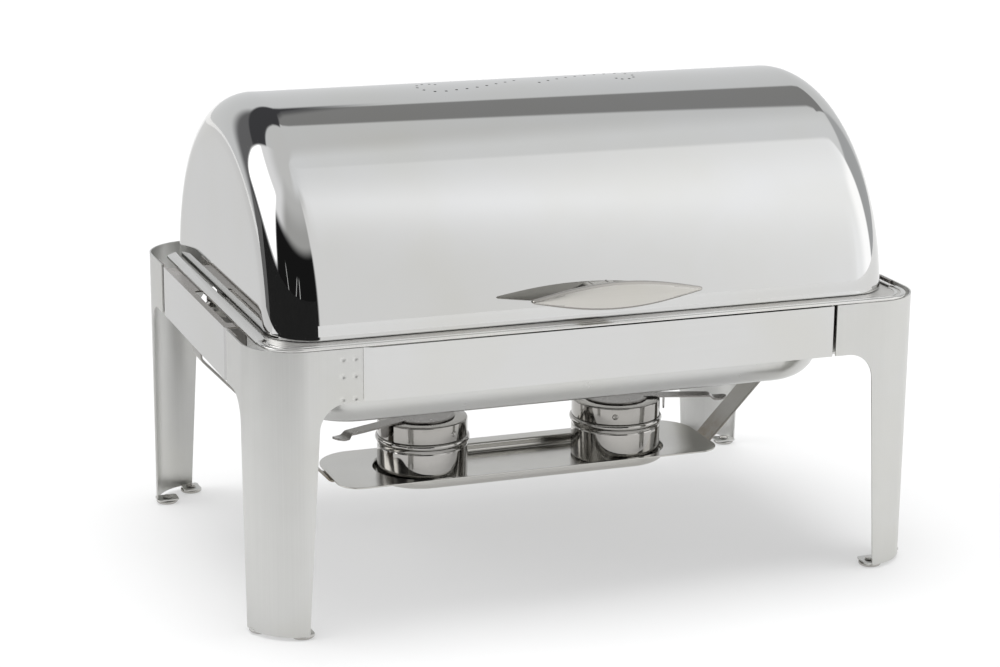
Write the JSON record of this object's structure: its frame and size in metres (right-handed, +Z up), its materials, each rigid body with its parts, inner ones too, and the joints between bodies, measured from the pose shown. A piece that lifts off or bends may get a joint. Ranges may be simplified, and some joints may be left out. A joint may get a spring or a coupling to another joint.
{
  "type": "chafing dish",
  "caption": "Roll-top food warmer: leg frame, water pan with food pan, half-round rolling lid with a leaf handle, capped fuel cups in a hung tray.",
  "frame": {"origin": "on the floor, at the middle of the whole object's plan box, handle included", "axes": "+X to the right along the lid's rolling axis, +Y to the rear, +Z up; the handle faces -Y"},
  "size_m": [0.64, 0.463, 0.4424],
  "materials": {
    "mirror_steel": "mirror-polished stainless steel",
    "polished_steel": "polished stainless steel with faint buffing lines",
    "satin_steel": "satin stainless steel",
    "brushed_steel": "brushed stainless steel with visible lines",
    "fastener_steel": "plain bright fastener steel"
  },
  "bodies": {
    "frame": {"leg_front_left": "satin_steel", "leg_front_right": "satin_steel", "leg_rear_left": "satin_steel", "leg_rear_right": "satin_steel", "glide_front_left_a": "fastener_steel", "glide_front_left_b": "fastener_steel", "glide_front_right_a": "fastener_steel", "glide_front_right_b": "fastener_steel", "glide_rear_left_a": "fastener_steel", "glide_rear_left_b": "fastener_steel", "glide_rear_right_a": "fastener_steel", "glide_rear_right_b": "fastener_steel", "rail_front": "polished_steel", "rail_rear": "polished_steel", "rail_left": "polished_steel", "rail_right": "polished_steel", "fuel_tray": "brushed_steel", "tray_strap_left": "brushed_steel", "tray_strap_right": "brushed_steel"},
    "water_pan_assembly": {"water_pan": "polished_steel", "rim_strip_left": "polished_steel", "rim_strip_right": "polished_steel", "hinge_plate_left": "satin_steel", "hinge_plate_right": "satin_steel", "pivot_bolt_left": "fastener_steel", "pivot_bolt_right": "fastener_steel", "pivot_spacer_left": "fastener_steel", "pivot_spacer_right": "fastener_steel", "pivot_nut_left": "fastener_steel", "pivot_nut_right": "fastener_steel"},
    "food_pan": {"food_pan": "satin_steel"},
    "lid": {"lid_shell": "mirror_steel", "lid_ear_left": "satin_steel", "lid_ear_right": "satin_steel", "handle_plate": "satin_steel", "handle_bracket": "satin_steel", "handle_screw_left": "fastener_steel", "handle_screw_right": "fastener_steel"},
    "fuel_cup_left": {"cup_body_left": "mirror_steel"},
    "fuel_cup_right": {"cup_body_right": "mirror_steel"},
    "cap_left": {"cup_cap_left": "mirror_steel", "damper_rivet_left": "fastener_steel"},
    "cap_right": {"cup_cap_right": "mirror_steel", "damper_rivet_right": "fastener_steel"},
    "damper_left": {"damper_left": "brushed_steel"},
    "damper_right": {"damper_right": "brushed_steel"}
  },
  "joints": [
    {"name": "lid_roll", "type": "hinge", "parent": "water_pan_assembly", "child": "lid", "pos_m": [0, 0.008, 0.2492], "axis": [-1, 0, 0], "range_deg": [0, 80]},
    {"name": "pan_lift", "type": "slide", "parent": "frame", "child": "water_pan_assembly", "axis": [0, 0, 1], "range_m": [0, 0.11]},
    {"name": "food_pan_lift", "type": "slide", "parent": "water_pan_assembly", "child": "food_pan", "axis": [0, 0, 1], "range_m": [0, 0.065]},
    {"name": "cup_lift_left", "type": "slide", "parent": "frame", "child": "fuel_cup_left", "axis": [0, 0, 1], "range_m": [0, 0.014]},
    {"name": "cup_lift_right", "type": "slide", "parent": "frame", "child": "fuel_cup_right", "axis": [0, 0, 1], "range_m": [0, 0.014]},
    {"name": "cap_lift_left", "type": "slide", "parent": "fuel_cup_left", "child": "cap_left", "axis": [0, 0, 1], "range_m": [0, 0.02]},
    {"name": "cap_lift_right", "type": "slide", "parent": "fuel_cup_right", "child": "cap_right", "axis": [0, 0, 1], "range_m": [0, 0.02]},
    {"name": "damper_swing_left", "type": "hinge", "parent": "cap_left", "child": "damper_left", "pos_m": [-0.06594, 0.02246, 0.126], "axis": [0, 0, 1], "range_deg": [0, 70]},
    {"name": "damper_swing_right", "type": "hinge", "parent": "cap_right", "child": "damper_right", "pos_m": [0.06462, 0.01882, 0.126], "axis": [0, 0, -1], "range_deg": [0, 70]}
  ]
}
